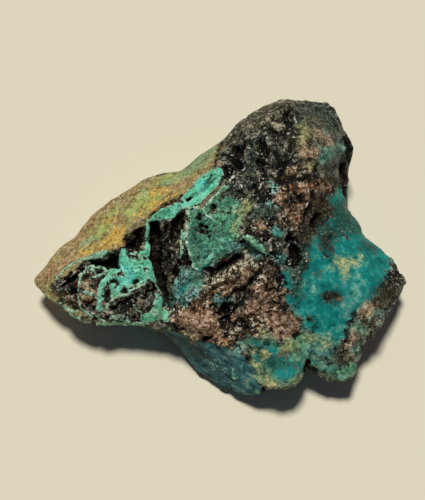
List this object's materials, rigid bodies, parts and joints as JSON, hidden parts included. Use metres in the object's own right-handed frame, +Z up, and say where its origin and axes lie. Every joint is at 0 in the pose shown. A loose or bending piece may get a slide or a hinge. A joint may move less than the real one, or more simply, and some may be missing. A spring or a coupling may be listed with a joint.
{
  "type": "turquoise mineral specimen",
  "caption": "Rough, loose hand specimen of blue-green turquoise crust and veins in dark brown host rock, with a weathered back and a flat broken foot.",
  "frame": {"origin": "middle of the bounding box, on the surface the stone rests on", "axes": "+X along the stone's longest way, from the pointed weathered arm to the right-hand point; +Y to the back, where the high lobe is; +Z up from the resting face"},
  "size_m": [0.0526, 0.042, 0.0178],
  "materials": {
    "turquoise_rock": "rough broken stone: matte teal and turquoise skin, glinting dark brown crust, dull olive-brown weathered back"
  },
  "bodies": {
    "root": {"stone": "turquoise_rock"}
  },
  "joints": []
}
